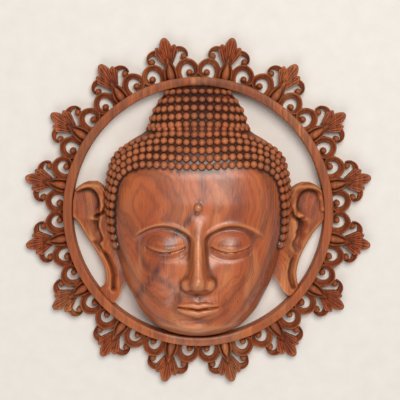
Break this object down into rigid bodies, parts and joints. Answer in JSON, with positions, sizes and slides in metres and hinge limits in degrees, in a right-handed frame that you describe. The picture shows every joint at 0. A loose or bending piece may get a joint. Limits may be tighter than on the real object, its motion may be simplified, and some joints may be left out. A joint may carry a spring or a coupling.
{
  "type": "carved wooden buddha mask",
  "caption": "Calm carved head in relief with beaded hair and long ears, inside a flat ring edged with pierced scroll ornaments, hollowed behind.",
  "frame": {"origin": "on the flat back, at the ring's centre", "axes": "+Z out of the back towards the face, +Y to the top of the head, +X to the viewer's right when facing the mask"},
  "size_m": [0.3924, 0.3924, 0.0992],
  "materials": {
    "carved_wood": "hand carved, sanded and waxed, satin"
  },
  "bodies": {
    "root": {"buddha_mask": "carved_wood"}
  },
  "joints": []
}
